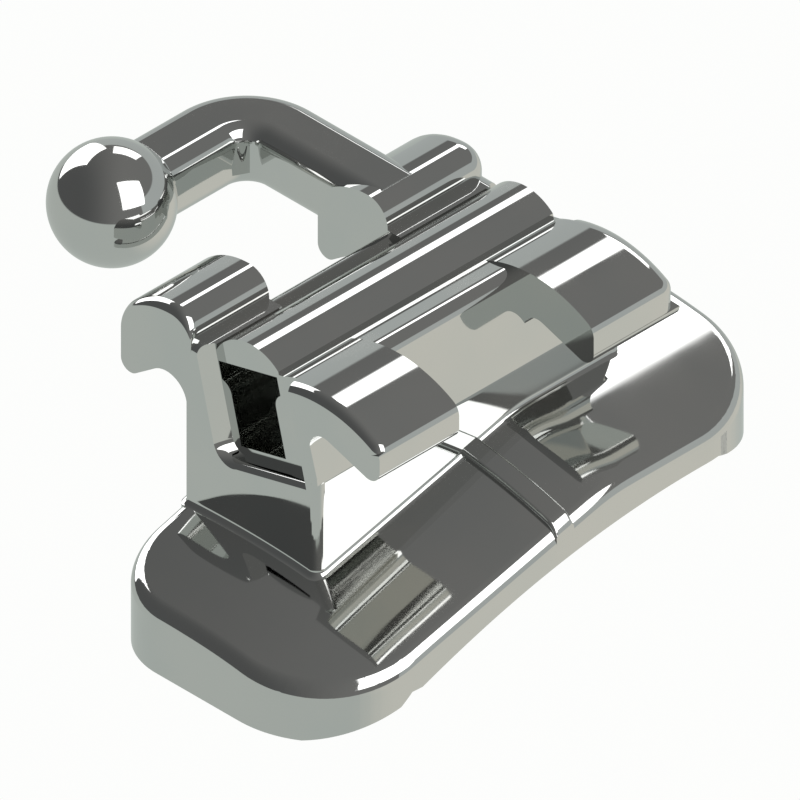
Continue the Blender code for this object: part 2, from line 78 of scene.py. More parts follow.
# Pocket round each end of the slot. Its hook-side wall leans in, from its mouth to its full depth
POCKET_DEPTH = 0.156
POCKET_HOOK_SIDE = 0.375
POCKET_HOOK_MOUTH = 0.453
POCKET_OPEN_SIDE = 0.66
POCKET_FLOOR = 0.09
POCKET_CORNER = 0.16
POCKET_ROLL = 0.09

# Body. Its open side keeps a wall round the pockets
BODY_LENGTH = 3.66
BODY_WALL = 0.15
BODY_CORNER = 0.09
LEDGE_HEIGHT = 1.70
LEDGE_WIDTH = 0.115
LEDGE_FILLET = 0.12
SHOULDER_WALL = 0.165
SHOULDER_FILLET = 0.14
WAIST_FILLET = 0.30
FOOT_FILLET = 0.056

# Gingival wings, on the hook side. Their barrel-shaped top rises over the ledge
GINGIVAL_REACH = 0.80
GINGIVAL_TIP_LOW = 0.93
GINGIVAL_RISE = 0.257
GINGIVAL_ROOT = 1.508
GINGIVAL_INSET = 0.052
GINGIVAL_THROAT = 0.271
GINGIVAL_NOSE = 0.115
GINGIVAL_CROWN = 0.77
GINGIVAL_INNER = 0.24
GINGIVAL_SHOULDER = 0.25
GINGIVAL_STEP = 0.208
GINGIVAL_ROUND_FROM = 1.55
MESIAL_GINGIVAL_END = 0.956
DISTAL_GINGIVAL_START = 2.40

# Occlusal wings, on the long side of the pad
OCCLUSAL_REACH = 2.355
OCCLUSAL_TIP_LOW = 1.31
OCCLUSAL_CREST_AT = 1.62
OCCLUSAL_CREST = 1.907
OCCLUSAL_CROWN = 1.35
OCCLUSAL_SHOULDER = 0.15
OCCLUSAL_ROOT_AT = 1.503
OCCLUSAL_ROOT = 1.585
OCCLUSAL_NOSE = 0.13
OCCLUSAL_THROAT = 0.17
OCCLUSAL_ROUND_FROM = 1.668
DISTAL_OCCLUSAL_DROP = 0.055
MESIAL_OCCLUSAL_END = 0.97
DISTAL_OCCLUSAL_START = 2.61
MESIAL_END_ROUND = 0.10
DISTAL_END_ROUND = 0.19

# Hook
HOOK_WIDTH = 0.63
HOOK_THICKNESS = 0.62
HOOK_CORNER = 0.17
HOOK_HEIGHT = 1.65
HOOK_BEND = 0.50
HOOK_REACH = 1.98
HOOK_ROOT = 0.15
BALL_AT = 1.07
BALL_DIAMETER = 1.14
NECK_FILLET = 0.06

# Bonding pad
PAD_MESIAL = 1.057
PAD_DISTAL = 4.65
PAD_GINGIVAL = 0.055
PAD_OCCLUSAL = 2.775
PAD_OCCLUSAL_CORNER = 1.08
PAD_GINGIVAL_CORNER = 0.74
PAD_EDGE_FILLET = 0.125
PAD_TOP = 0.041
PAD_SLOPE = 0.245
PAD_LEVEL_FROM = 2.42
PAD_BLEND = 0.20
PAD_FALL_FROM = 0.30
PAD_FALL_RADIUS = 16.9
PAD_CROWN_AT = 0.681
PAD_CROWN_RADIUS = 10.1
PAD_SIDE_FROM = 1.20
PAD_SIDE_RADIUS = 13.5

# Underside of the pad: two lips and the curved bonding field between them
FIELD_APEX_AT = 3.50
FIELD_APEX = 0.02
FIELD_RADIUS = 9.2
MESIAL_LIP_AT = 0.1425
MESIAL_LIP = 0.703
MESIAL_LIP_SLOPE = 0.30
MESIAL_LIP_LEVEL = 0.74
UNDERCUT_REACH = 0.124
UNDERCUT_RISE = 0.105
DISTAL_LIP_AT = 3.85
DISTAL_LIP = 0.035
DISTAL_LIP_SLOPE = 0.285
DISTAL_STEP = 0.13
GROOVE_COUNT = 6
GROOVE_MOUTH = 0.20
GROOVE_FLOOR = 0.28
GROOVE_DEPTH = 0.08
GROOVE_MARGIN = 0.22

# Locating rib across the pad
RIB_AT = 1.85
RIB_WIDTH = 0.21
RIB_HEIGHT = 0.06
RIB_ROUND = 0.035
RIB_CORNER_FROM = math.radians(60)

# Fineness of the faces
ARC_STEP = math.radians(2.5)
BALL_SEGMENTS = 112
PAD_SLICE = 0.09
FILLET_SEGMENTS = 8
ROUND_STEPS = 2 * FILLET_SEGMENTS

# How far a helper solid runs past the faces that it cuts or joins, how far a flush face is kept off its
# neighbour, how near counts as the same place, as one point and as on a slice, and how deep the pad is
# before its underside is cut
PAST = 0.20
FLUSH_STEP = 0.004
SAME = 1e-4
WELD = 1e-5
ON_SLICE = 1e-6
PAD_BLANK_FLOOR = -1.40

# The share of a side that a corner's arc may use, where both of its ends have one and where one has
SHARED_SIDE = 0.49
OWN_SIDE = 0.98

# How a face is told to lie in the bonding base, and the angle from which an edge is drawn sharp
EDGE_LAND = 0.02
SHARP_FROM = math.radians(22)

# Floor, in metres
FLOOR_SIDE = 0.4
FLOOR_GAP = 0.00001

# The photograph's square frame
IMAGE_SIDE = 800
PIXELS_PER_MM = 116
ORIGIN_PIXEL = (186.5, 503)
CAMERA_DISTANCE = 60

# Studio, as directions in the slot's frame. Each softbox is given by its corners, seen from the casting.
# A turn is where, from one side of the room to the other, its first tone gives way to its second
SIDE_SOFTBOX = [
    (-0.141, -0.341, 0.929),
    (0.454, -0.534, 0.713),
    (0.299, -0.920, 0.253),
    (-0.392, -0.857, 0.335),
]
END_SOFTBOX = [(0.644, 0.592, 0.485), (0.488, 0.451, 0.747), (0.752, 0.062, 0.656), (0.891, 0.182, 0.416)]
REAR_SOFTBOX = [(-0.12, 1.0, -0.01), (0.66, 1.0, 0.0), (0.79, 1.0, 0.88), (-0.13, 1.0, 1.03)]
SOFTBOX_EDGE = 0.012
SOFTBOX_LIGHT = 2.6
REFLECTIONS = 16
CEILING_FROM = 0.407
WALL_FROM = 0.17
HORIZON = -0.05
ROOM_EDGE = 0.02
CEILING_TURN = (-0.9, 0.4)
CEILING_DARK = (0.10, 0.103, 0.103, 1)
CEILING_LIGHT = (0.21, 0.21, 0.205, 1)
WALL_TONE = (0.50, 0.53, 0.52, 1)
GROUND_TURN = (0.3, 0.8)
GROUND_COOL = (0.53, 0.57, 0.54, 1)
GROUND_WARM = (0.73, 0.725, 0.66, 1)
PAGE_WHITE = (0.98, 0.985, 0.975, 1)

# Steel. Marks and grit are given in cells a metre, and how deep they go in metres
HAZE_SIZE = 900.0
HAZE_DETAIL = 3.0
HAZE_BAND = (0.35, 0.65)
LINE_SIZE = 9000.0
LINE_DETAIL = 2.0
LINE_STRETCH = (0.12, 1.0, 1.0)
LINE_DEPTH = 4e-8
POLISHED_ROUGHNESS = (0.02, 0.06)
POLISHED_TONES = ((0.63, 0.64, 0.63, 1), (0.655, 0.655, 0.64, 1))
GRIT_SIZE = 22000.0
GRIT_DETAIL = 4.0
GRIT_DEPTH = 5e-6
PIT_SHARE = 0.6
PIT_BAND = (0.1, 0.6)
BLASTED_ROUGHNESS = (0.38, 0.52)
# Of the blasted tones, the darker one is painted shade in the grit's pits and the lighter one is the frosted
# steel; PIT_BAND sets where the first gives way to the second.
BLASTED_TONES = ((0.50, 0.505, 0.50, 1), (0.60, 0.605, 0.60, 1))


def slot_point(across, up):
    """The (y, z) of a point of the slot's section, which is turned by the torque."""
    y = SLOT_SIDEWAYS - across * math.cos(TORQUE) + up * math.sin(TORQUE)
    z = SLOT_HEIGHT + across * math.sin(TORQUE) + up * math.cos(TORQUE)
    return y, z


def share_of_side(neighbour):
    """The share of a side that one corner's arc may use, given the corner at its other end."""
    return SHARED_SIDE if neighbour[2] > 0 else OWN_SIDE


def rounded(corners):
    """An outline through (u, v, radius) corners, where an arc takes the place of a corner with a radius."""
    outline = []
    for index, (u, v, radius) in enumerate(corners):
        corner = Vector((u, v))
        if radius <= 0:
            outline.append(corner)
            continue
        back = Vector(corners[index - 1][:2]) - corner
        ahead = Vector(corners[(index + 1) % len(corners)][:2]) - corner
        half = back.angle(ahead) / 2
        room = min(
            back.length * share_of_side(corners[index - 1]),
            ahead.length * share_of_side(corners[(index + 1) % len(corners)]),
        )
        radius = min(radius, room * math.tan(half))
        middle = (back.normalized() + ahead.normalized()).normalized()
        centre = corner + middle * radius / math.sin(half)
        spoke = corner + back.normalized() * radius / math.tan(half) - centre
        sweep = math.copysign(math.pi - 2 * half, ahead.cross(back))
        steps = max(2, math.ceil(abs(sweep) / ARC_STEP))
        for step in range(steps + 1):
            outline.append(centre + Matrix.Rotation(sweep * step / steps, 2) @ spoke)
    return outline


def arc(centre, radius, start, end):
    """Points (across, up) of an arc in the slot's section, by angles from the across direction."""
    steps = max(2, math.ceil(abs(end - start) / ARC_STEP))
    turns = (start + (end - start) * step / steps for step in range(steps + 1))
    return [(centre[0] + radius * math.cos(t), centre[1] + radius * math.sin(t)) for t in turns]


def quarter_turns():
    """Angles from nought to a right angle, in the steps of a rounding."""
    return [math.pi / 2 * step / ROUND_STEPS for step in range(ROUND_STEPS + 1)]


def pad_top(x, y):
    """Height of the pad's top: a slope along X that levels out at its distal end, crowned along Y."""
    past = min(max(x - PAD_LEVEL_FROM + PAD_BLEND, 0.0), 2 * PAD_BLEND)
    run = min(x, PAD_LEVEL_FROM + PAD_BLEND) - past * past / (4 * PAD_BLEND)
    fall = min(x - PAD_FALL_FROM, 0.0) ** 2 / (2 * PAD_FALL_RADIUS)
    side = min(y + PAD_SIDE_FROM, 0.0) ** 2 / (2 * PAD_SIDE_RADIUS)
    crown = (y + PAD_CROWN_AT) ** 2 / (2 * PAD_CROWN_RADIUS)
    return PAD_TOP + PAD_SLOPE * run - fall - side - crown


def field(x):
    """Height of the bonding field, a shallow arch along X."""
    return FIELD_APEX - (x - FIELD_APEX_AT) ** 2 / (2 * FIELD_RADIUS)


def mesial_lip(x):
    """Height of the mesial lip, which slopes down to its level outer part."""
    return -MESIAL_LIP + MESIAL_LIP_SLOPE * max(x + MESIAL_LIP_AT, -MESIAL_LIP_LEVEL)


def distal_lip(x):
    return -DISTAL_LIP - DISTAL_LIP_SLOPE * (x - DISTAL_LIP_AT)


def drawn_normals(bm):
    """Each face corner's normal, as x, y, z in a row: the mean of the faces that run on smoothly."""
    least = math.cos(SHARP_FROM)
    areas = {face: face.calc_area() for face in bm.faces}
    row = []
    for face in bm.faces:
        for corner in face.loops:
            smooth = [other for other in corner.vert.link_faces if other.normal.dot(face.normal) > least]
            row.extend(sum((other.normal * areas[other] for other in smooth), Vector()).normalized())
    return row


def finish(bm, name, collection):
    """Turns a bmesh into an object of the casting. Its normals go with it through every join and cut."""
    bmesh.ops.recalc_face_normals(bm, faces=bm.faces)
    row = drawn_normals(bm)
    mesh = bpy.data.meshes.new(name)
    bm.to_mesh(mesh)
    bm.free()
    mesh.attributes.new("drawn_normal", "FLOAT_VECTOR", "CORNER").data.foreach_set("vector", row)
    made = bpy.data.objects.new(name, mesh)
    collection.objects.link(made)
    return made


def prism(outline, place, direction):
    """A bmesh solid: the outline's points, placed by a function, as one face that is extruded."""
    bm = bmesh.new()
    face = bm.faces.new([bm.verts.new(place(u, v)) for u, v in outline])
    grown = bmesh.ops.extrude_face_region(bm, geom=[face])["geom"]
    moved = [item for item in grown if isinstance(item, bmesh.types.BMVert)]
    bmesh.ops.translate(bm, verts=moved, vec=direction)
    return bm


def along_x(outline, start, end):
    """A solid with its (y, z) outline, from one X to another."""
    return prism(outline, lambda y, z: (start, y, z), (end - start, 0, 0))


def along_y(outline, start, end):
    """A solid with its (x, z) outline, from one Y to another."""
    return prism(outline, lambda x, z: (x, start, z), (0, end - start, 0))


def loft(loops):
    """A bmesh solid through closed loops that all have the same number of points."""
    bm = bmesh.new()
    rings = [[bm.verts.new(point) for point in loop] for loop in loops]
    for ring, following in zip(rings, rings[1:]):
        for index in range(len(ring)):
            bm.faces.new((ring[index - 1], ring[index], following[index], following[index - 1]))
    bm.faces.new(rings[0])
    bm.faces.new(rings[-1])
    return bm


def slice_up(bm, axis, step):
    """Cuts a mesh into slices across an axis, so that it can be bent."""
    values = [vert.co[axis] for vert in bm.verts]
    low, high = min(values), max(values)
    count = max(1, round((high - low) / step))
    normal = Vector((axis == 0, axis == 1, axis == 2))
    for index in range(1, count):
        everything = bm.verts[:] + bm.edges[:] + bm.faces[:]
        cut = low + (high - low) * index / count
        bmesh.ops.bisect_plane(bm, geom=everything, dist=ON_SLICE, plane_co=normal * cut, plane_no=normal)


def drape(bm, above):
    """Lays a flat solid's points that lie over a height onto the pad's top."""
    slice_up(bm, 0, PAD_SLICE)
    slice_up(bm, 1, PAD_SLICE)
    for vert in bm.verts:
        if vert.co.z > above:
            vert.co.z += pad_top(vert.co.x, vert.co.y)


def round_edges(bm, edges, radius):
    bmesh.ops.bevel(
        bm, geom=edges, offset=radius, segments=FILLET_SEGMENTS, profile=0.5, affect="EDGES"
    )


def open_wall():
    """Y of the body's upright wall on the open side, past the pockets' lowest corner."""
    return slot_point(POCKET_OPEN_SIDE, -POCKET_FLOOR)[0] - BODY_WALL


def core_outline():
    """Section of the body with its cap strip, as it is between the wings."""
    half = CAP_WIDTH / 2
    centre = (0, CAP_CROWN - CAP_RADIUS)
    reach = math.acos(half / CAP_RADIUS)
    crown = [slot_point(*point) for point in arc(centre, CAP_RADIUS, math.pi - reach, reach)]
    wall = open_wall()
    shoulder = POCKET_OPEN_SIDE + SHOULDER_WALL
    waist = (wall - SLOT_SIDEWAYS + shoulder * math.cos(TORQUE)) / math.sin(TORQUE)
    corners = [
        (0, PAD_BLANK_FLOOR, 0),
        (0, LEDGE_HEIGHT, LEDGE_FILLET),
        (-LEDGE_WIDTH, LEDGE_HEIGHT, 0),
        (*slot_point(-half, CAP_BASE), 0),
        *[(y, z, 0) for y, z in crown],
        (*slot_point(half, CAP_BASE), 0),
        (*slot_point(shoulder, CAP_BASE), SHOULDER_FILLET),
        (wall, slot_point(shoulder, waist)[1], WAIST_FILLET),
        (wall, PAD_BLANK_FLOOR, 0),
    ]
    return rounded(corners)


def round_down(bm, end, inward, radius, wanted):
    """Rounds the wanted part of a solid's top down to one of its ends."""
    for turn in quarter_turns()[1:]:
        depth = radius * (1 - math.cos(turn))
        everything = bm.verts[:] + bm.edges[:] + bm.faces[:]
        place = (end + inward * depth, 0, 0)
        bmesh.ops.bisect_plane(bm, geom=everything, dist=ON_SLICE, plane_co=place, plane_no=(1, 0, 0))
    for vert in bm.verts:
        depth = max(0.0, (vert.co.x - end) * inward)
        if depth < radius and wanted(vert.co):
            vert.co.z -= radius - math.sqrt(radius**2 - (radius - depth) ** 2)


def body():
    """The body, with the upright edges of its open side rounded, and its ledge and shoulder at both ends."""
    bm = along_x(core_outline(), 0, BODY_LENGTH)
    for end in (0, BODY_LENGTH):
        rounded_end(bm, end, BODY_CORNER, lambda point: point.y < open_wall() + SAME)

    def beside_cap(point):
        hook_side = point.y > slot_point(-CAP_WIDTH / 2, CAP_BASE)[0] + SAME
        open_side = point.y < slot_point(CAP_WIDTH / 2, CAP_BASE)[0] - SAME
        ledge = hook_side and point.z > LEDGE_HEIGHT - LEDGE_FILLET - SAME
        shoulder = open_side and point.z > OCCLUSAL_ROUND_FROM
        return ledge or shoulder

    round_down(bm, 0, 1, MESIAL_END_ROUND, beside_cap)
    round_down(bm, BODY_LENGTH, -1, DISTAL_END_ROUND, beside_cap)
    return bm


def gingival_outline():
    """Section of a wing on the hook side, with the ledge that carries it, from inside the body's wall."""
    crest = GINGIVAL_INNER - GINGIVAL_INSET
    top = LEDGE_HEIGHT + GINGIVAL_RISE
    inner = [(y, z, 0) for y, z in arc((crest, top - GINGIVAL_INNER), GINGIVAL_INNER, math.pi / 2, math.pi)]
    crown = barrel((crest, top), GINGIVAL_CROWN, GINGIVAL_REACH, GINGIVAL_SHOULDER)
    low = GINGIVAL_ROOT - 3 * GINGIVAL_THROAT
    return rounded(
        [
            (-FLUSH_STEP, low, 0),
            (-FLUSH_STEP, GINGIVAL_ROOT, GINGIVAL_THROAT),
            (GINGIVAL_REACH, GINGIVAL_TIP_LOW, GINGIVAL_NOSE),
            *crown,
            *inner[1:],
            (-GINGIVAL_INSET, LEDGE_HEIGHT + FLUSH_STEP, 0),
            (-GINGIVAL_STEP, LEDGE_HEIGHT + FLUSH_STEP, 0),
            (-GINGIVAL_STEP, low, 0),
        ]
    )


def barrel(crest, crown, reach, shoulder):
    """Corners of a wing's top, from tip to crest: a shoulder arc that runs into the wide crown arc."""
    side = math.copysign(1.0, reach - crest[0])
    middle = crest[1] - crown
    across = abs(reach - crest[0]) - shoulder
    turn = math.acos(across / (crown - shoulder))
    centre = (across, middle + (crown - shoulder) * math.sin(turn))
    points = arc(centre, shoulder, 0, turn) + arc((0, middle), crown, turn, math.pi / 2)[1:]
    return [(crest[0] + side * y, z, 0) for y, z in points]


def occlusal_outline(drop):
    """Section of a wing on the open side, from inside the body, with its underside lower by a drop."""
    crown = barrel((-OCCLUSAL_CREST_AT, OCCLUSAL_CREST), OCCLUSAL_CROWN, -OCCLUSAL_REACH, OCCLUSAL_SHOULDER)
    inside = slot_point(CAP_WIDTH / 4, CAP_BASE)
    middle = OCCLUSAL_CREST - OCCLUSAL_CROWN
    start = math.acos((inside[0] + OCCLUSAL_CREST_AT) / OCCLUSAL_CROWN)
    rest = arc((-OCCLUSAL_CREST_AT, middle), OCCLUSAL_CROWN, start, math.pi / 2)
    low = OCCLUSAL_ROOT - 4 * OCCLUSAL_THROAT
    return rounded(
        [
            (inside[0], low, 0),
            *[(y, z, 0) for y, z in rest],
            *crown[-2::-1],
            (-OCCLUSAL_REACH, OCCLUSAL_TIP_LOW - drop, OCCLUSAL_NOSE),
            (-OCCLUSAL_ROOT_AT, OCCLUSAL_ROOT - drop, OCCLUSAL_THROAT),
            (-OCCLUSAL_ROOT_AT, low, 0),
        ]
    )


def rounded_end(bm, at, radius, wanted):
    """Rounds the wanted edges of the end face at one X, so that the rounding runs along its rim."""
    rim = []
    for edge in bm.edges:
        ends = [vert.co for vert in edge.verts]
        if all(abs(point.x - at) < SAME for point in ends) and wanted((ends[0] + ends[1]) / 2):
            rim.append(edge)
    round_edges(bm, rim, radius)
    bmesh.ops.remove_doubles(bm, verts=bm.verts, dist=SAME)
    for vert in bm.verts:
        if abs(vert.co.x - at) < SAME:
            vert.co.x = at
    return bm


def over_gingival_wing(tip_low):
    """Tells the points of a hook-side wing that lie over the ledge or, at its tip, over a height."""
    return lambda point: point.z > (tip_low if point.y > GINGIVAL_INNER else LEDGE_HEIGHT - SAME)


def mesial_gingival_wing():
    """The wing at the near end of the hook side. Its end's rounding fades out down the tip."""
    bm = along_x(gingival_outline(), 0, MESIAL_GINGIVAL_END)
    round_down(bm, 0, 1, MESIAL_END_ROUND, over_gingival_wing(GINGIVAL_ROUND_FROM))
    return bm


def distal_gingival_wing():
    """The wing that carries the hook. Its end is rounded, at the tip down to the nose."""
    bm = along_x(gingival_outline(), BODY_LENGTH, DISTAL_GINGIVAL_START)
    wanted = over_gingival_wing(GINGIVAL_TIP_LOW + GINGIVAL_NOSE)
    return rounded_end(bm, BODY_LENGTH, DISTAL_END_ROUND, wanted)


def occlusal_wing(start, end, radius, tip_low, drop):
    """A wing on the open side. Its outer end, the start, is rounded, at the tip down to a height."""
    inner = slot_point(CAP_WIDTH / 4, CAP_BASE)[0] - SAME

    def over_top(point):
        tip = point.y < -OCCLUSAL_CREST_AT
        return point.y < inner and point.z > (tip_low if tip else OCCLUSAL_ROUND_FROM)

    return rounded_end(along_x(occlusal_outline(drop), start, end), start, radius, over_top)


def slot_outline():
    """Section of the slot: straight walls, rounded lips and the seat under the cap."""
    half = SLOT_WIDTH / 2
    seat = SEAT_WIDTH / 2
    turn = math.acos(max(-1.0, 1 - (seat - half) / LIP_RADIUS))
    lip = arc((half + LIP_RADIUS, SLOT_WALL), LIP_RADIUS, math.pi, math.pi - turn)
    right = [(half, 0), *lip, (seat, SLOT_DEPTH)]
    left = [(-across, up) for across, up in reversed(right)]
    return [slot_point(*point) for point in right + left]


def pocket(end, inward):
    """The recess round one end of the slot: its floor has a rolled rim, and its hook-side wall leans."""
    top = CAP_CROWN + 2 * PAST
    depths = [(-PAST, POCKET_ROLL)]
    for turn in quarter_turns():
        depths.append((POCKET_ROLL * (1 - math.cos(turn)), POCKET_ROLL * (1 - math.sin(turn))))
    depths.append((POCKET_DEPTH, 0))
    loops = []
    for depth, spread in depths:
        lean = (POCKET_HOOK_SIDE - POCKET_HOOK_MOUTH) * max(0.0, depth) / POCKET_DEPTH
        hook_side = POCKET_HOOK_MOUTH + lean
        corners = [
            (-hook_side, top, 0),
            (-hook_side, -POCKET_FLOOR - spread, POCKET_CORNER + spread),
            (POCKET_OPEN_SIDE, -POCKET_FLOOR - spread, 0),
            (POCKET_OPEN_SIDE, top, 0),
        ]
        loops.append([(end + inward * depth, *slot_point(*point)) for point in rounded(corners)])
    return loft(loops)


def pad_outline(inset=0.0):
    """Plan of the pad as (x, y)."""
    return rounded(
        [
            (-PAD_MESIAL + inset, PAD_GINGIVAL - inset, PAD_GINGIVAL_CORNER - inset),
            (-PAD_MESIAL + inset, -PAD_OCCLUSAL + inset, PAD_OCCLUSAL_CORNER - inset),
            (PAD_DISTAL - inset, -PAD_OCCLUSAL + inset, PAD_OCCLUSAL_CORNER - inset),
            (PAD_DISTAL - inset, PAD_GINGIVAL - inset, PAD_GINGIVAL_CORNER - inset),
        ]
    )


def pad_blank():
    """The pad with its filleted top edge, laid to the shape of its top, before its underside is cut."""
    loops = [[(x, y, PAD_BLANK_FLOOR) for x, y in pad_outline()]]
    for turn in quarter_turns():
        inset = PAD_EDGE_FILLET * (1 - math.cos(turn))
        height = -PAD_EDGE_FILLET * (1 - math.sin(turn))
        loops.append([(x, y, height) for x, y in pad_outline(inset)])
    bm = loft(loops)
    drape(bm, PAD_BLANK_FLOOR / 2)
    return bm


def foot_fillet():
    """The concave fillet round the foot of the body, laid on the pad."""
    wall = open_wall()
    loops = []
    sections = [(FOOT_FILLET, -PAST)]
    for turn in quarter_turns():
        sections.append((FOOT_FILLET * (1 - math.sin(turn)), FOOT_FILLET * (1 - math.cos(turn))))
    sections.append((-FOOT_FILLET / 4, FOOT_FILLET))
    for spread, height in sections:
        sharp = spread + FOOT_FILLET / 2
        corners = [
            (-spread, spread, sharp),
            (-spread, wall - spread, BODY_CORNER + spread),
            (BODY_LENGTH + spread, wall - spread, BODY_CORNER + spread),
            (BODY_LENGTH + spread, spread, sharp),
        ]
        loops.append([(x, y, height) for x, y in rounded(corners)])
    bm = loft(loops)
    drape(bm, -2 * PAST)
    return bm


def rib():
    """The rib from the body's foot to the pad's long edge, where it turns down flush with the wall."""
    half = RIB_WIDTH / 2
    outline = [
        (RIB_AT - half, -2 * PAST),
        (RIB_AT - half, RIB_HEIGHT),
        (RIB_AT + half, RIB_HEIGHT),
        (RIB_AT + half, -2 * PAST),
    ]
    front = -PAD_OCCLUSAL + FLUSH_STEP
    bm = along_y(outline, front, open_wall() + PAST)
    lip = [e for e in bm.edges if all(v.co.z > 0 and v.co.y < front + SAME for v in e.verts)]
    round_edges(bm, lip, PAD_EDGE_FILLET)
    sides = []
    for edge in bm.edges:
        first, second = (vert.co for vert in edge.verts)
        along = abs(first.x - second.x) < SAME and max(first.z, second.z) > 0
        over_lip = min(first.z, second.z) > -PAD_EDGE_FILLET - SAME
        if along and over_lip and edge.calc_face_angle(0) > RIB_CORNER_FROM:
            sides.append(edge)
    round_edges(bm, sides, RIB_ROUND)
    drape(bm, -3 * PAST)
    return bm


def leg_outline(middle_x, middle_z):
    """Section of the hook's arm and leg, round its middle."""
    half_width = HOOK_WIDTH / 2
    half_height = HOOK_THICKNESS / 2
    corners = [
        (-half_width, -half_height),
        (half_width, -half_height),
        (half_width, half_height),
        (-half_width, half_height),
    ]
    return rounded([(middle_x + x, middle_z + z, HOOK_CORNER) for x, z in corners])


def hook():
    """Arm, bend and leg of the hook, swept from a section with rounded corners."""
    centre_x = DISTAL_GINGIVAL_START + HOOK_WIDTH / 2
    bend_start = HOOK_REACH - HOOK_BEND
    bm = along_y(leg_outline(centre_x, HOOK_HEIGHT), HOOK_ROOT, bend_start)
    end = [face for face in bm.faces if abs(face.calc_center_median().y - bend_start) < SAME]
    bend_centre = (centre_x - HOOK_BEND, bend_start, HOOK_HEIGHT)
    spun = bmesh.ops.spin(
        bm,
        geom=end,
        cent=bend_centre,
        axis=(0, 0, 1),
        angle=math.pi / 2,
        steps=math.ceil(math.pi / 2 / ARC_STEP),
    )
    bmesh.ops.delete(bm, geom=end, context="FACES_ONLY")
    last = [item for item in spun["geom_last"] if isinstance(item, bmesh.types.BMFace)]
    grown = bmesh.ops.extrude_face_region(bm, geom=last)["geom"]
    moved = [item for item in grown if isinstance(item, bmesh.types.BMVert)]
    leg = centre_x - HOOK_BEND - BALL_AT - BALL_DIAMETER / 4
    bmesh.ops.translate(bm, verts=moved, vec=(-leg, 0, 0))
    bmesh.ops.delete(bm, geom=last, context="FACES_ONLY")
    bmesh.ops.remove_doubles(bm, verts=bm.verts, dist=WELD)
    return bm


def ball():
    bm = bmesh.new()
    bmesh.ops.create_uvsphere(
        bm,
        u_segments=BALL_SEGMENTS,
        v_segments=BALL_SEGMENTS // 2,
        radius=BALL_DIAMETER / 2,
        matrix=Matrix.Translation((BALL_AT, HOOK_REACH, HOOK_HEIGHT)) @ Matrix.Rotation(math.pi / 2, 4, "Y"),
    )
    return bm


def neck():
    """The concave fillet between the hook's leg and its ball, from each point of the leg's outline."""
    loops = [[] for step in range(ROUND_STEPS + 2)]
    for point in leg_outline(0, 0):
        out = point.length + NECK_FILLET
        start = math.asin(out / (BALL_DIAMETER / 2 + NECK_FILLET))
        middle = BALL_AT + (BALL_DIAMETER / 2 + NECK_FILLET) * math.cos(start)
        for step, loop in enumerate(loops):
            turn = start + (math.pi / 2 - start) * max(step - 1, 0) / ROUND_STEPS
            x = middle - NECK_FILLET * math.cos(turn) if step else BALL_AT + BALL_DIAMETER / 8
            radius = out - NECK_FILLET * math.sin(turn) - FLUSH_STEP
            y, z = point.normalized() * radius
            loop.append((x, HOOK_REACH + y, HOOK_HEIGHT + z))
    return loft(loops)


def underside():
    """Everything below the pad: the lips, the undercut behind the mesial one and the field's arch."""
    start = -PAD_MESIAL - PAST
    end = PAD_DISTAL + PAST
    field_start = -MESIAL_LIP_AT + 2 * UNDERCUT_REACH
    field_end = DISTAL_LIP_AT - DISTAL_STEP
    steps = max(4, round((field_end - field_start) / PAD_SLICE))
    level = -MESIAL_LIP_AT - MESIAL_LIP_LEVEL
    outline = [(start, PAD_BLANK_FLOOR - PAST), (start, mesial_lip(start)), (level, mesial_lip(level))]
    outline.append((-MESIAL_LIP_AT, -MESIAL_LIP))
    outline.append((-MESIAL_LIP_AT + UNDERCUT_REACH, -MESIAL_LIP + UNDERCUT_RISE))
    for step in range(steps + 1):
        x = field_start + (field_end - field_start) * step / steps
        outline.append((x, field(x)))
    outline += [(DISTAL_LIP_AT, -DISTAL_LIP), (end, distal_lip(end)), (end, PAD_BLANK_FLOOR - PAST)]
    return along_y(outline, -PAD_OCCLUSAL - PAST, PAD_GINGIVAL + PAST)


def groove(middle):
    """One retention groove: a dovetail that follows the field's arch and stops short of both lips."""
    start = -MESIAL_LIP_AT + 2 * UNDERCUT_REACH + GROOVE_MARGIN
    end = DISTAL_LIP_AT - DISTAL_STEP - GROOVE_MARGIN
    flare = (GROOVE_FLOOR - GROOVE_MOUTH) / 2
    outline = [
        (middle - GROOVE_MOUTH / 2 + flare, -GROOVE_DEPTH),
        (middle + GROOVE_MOUTH / 2 - flare, -GROOVE_DEPTH),
        (middle + GROOVE_FLOOR / 2, GROOVE_DEPTH),
        (middle - GROOVE_FLOOR / 2, GROOVE_DEPTH),
    ]
    bm = along_x(outline, start, end)
    slice_up(bm, 0, PAD_SLICE)
    for vert in bm.verts:
        vert.co.z += field(vert.co.x)
    return bm


def joined_solids():
    """The solids that are joined to the pad, by name."""
    return {
        "body": body(),
        "foot_fillet": foot_fillet(),
        "mesial_gingival_wing": mesial_gingival_wing(),
        "distal_gingival_wing": distal_gingival_wing(),
        "mesial_occlusal_wing": occlusal_wing(
            0, MESIAL_OCCLUSAL_END, MESIAL_END_ROUND, OCCLUSAL_ROUND_FROM, 0
        ),
        "distal_occlusal_wing": occlusal_wing(
            BODY_LENGTH,
            DISTAL_OCCLUSAL_START,
            DISTAL_END_ROUND,
            OCCLUSAL_TIP_LOW + OCCLUSAL_NOSE,
            DISTAL_OCCLUSAL_DROP,
        ),
        "hook_arm": hook(),
        "hook_ball": ball(),
        "hook_neck": neck(),
        "pad_rib": rib(),
    }


